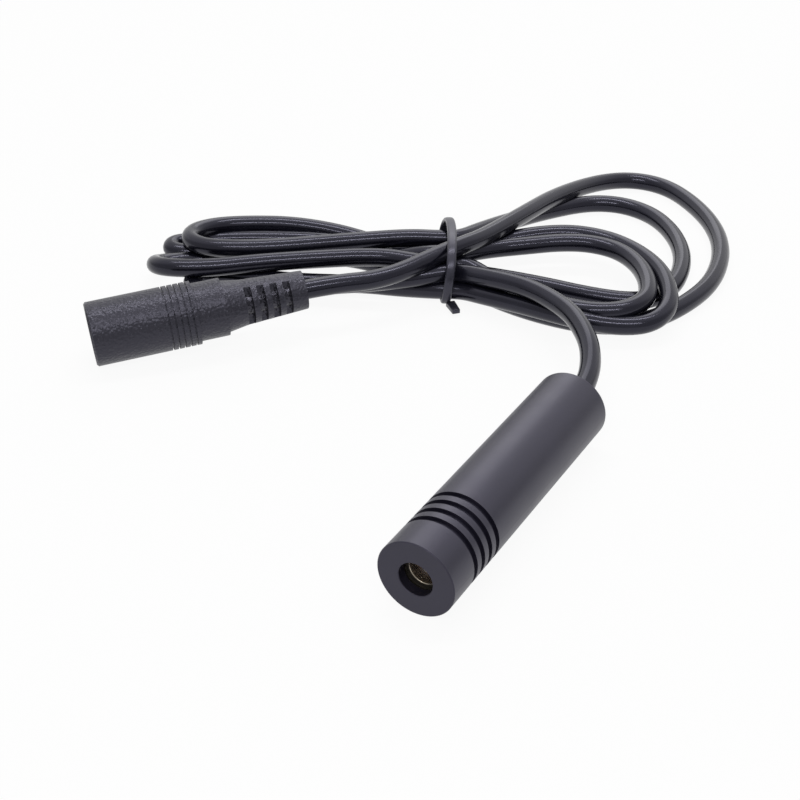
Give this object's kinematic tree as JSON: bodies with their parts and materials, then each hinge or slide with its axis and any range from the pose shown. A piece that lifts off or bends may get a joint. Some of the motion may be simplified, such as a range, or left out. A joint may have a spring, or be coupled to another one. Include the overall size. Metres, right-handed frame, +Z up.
{
  "type": "laser diode module",
  "caption": "Slim cylindrical laser diode module with a recessed lens, cooling grooves near its beam end, and a tied supply lead that ends in an inline power socket.",
  "frame": {"origin": "on the ground under the middle of the barrel", "axes": "the barrel lies along Y with its beam end towards -Y, Z up; the lead lies as in the picture"},
  "size_m": [0.1027, 0.146, 0.0125],
  "materials": {
    "anodised": "black anodised, satin",
    "brass": "machined",
    "glass": "polished",
    "steel": "bright",
    "gold": "plated",
    "chip": "polished",
    "board": "solder mask",
    "component": "moulded",
    "capacitor": "ceramic",
    "trimmer": "moulded",
    "red_wire": "smooth",
    "black_wire": "smooth",
    "plug": "matt",
    "sheath": "smooth",
    "tie": "smooth",
    "moulding": "fine leather grain",
    "insert": "moulded",
    "nickel": "nickel plated"
  },
  "bodies": {
    "root": {"housing": "anodised", "lens_cell": "brass", "lens_ring": "brass", "collimating_lens": "glass", "cell_cushion": "plug", "diode_slug": "brass", "diode_stem": "gold", "diode_pins": "gold", "diode_cap": "steel", "diode_window": "glass", "diode_submount": "gold", "diode_chip": "chip", "driver_board": "board", "driver_chip": "component", "board_resistors": "component", "board_capacitor": "capacitor", "power_trimmer": "trimmer", "supply_wire": "red_wire", "return_wire": "black_wire", "rear_plug": "plug", "lead_to_module": "sheath", "lead_hank": "sheath", "lead_to_jack": "sheath", "cable_tie": "tie", "jack_moulding": "moulding", "jack_insert": "insert", "jack_pin": "nickel", "jack_contact": "nickel", "jack_tabs": "nickel", "jack_supply_wire": "red_wire", "jack_return_wire": "black_wire"}
  },
  "joints": []
}
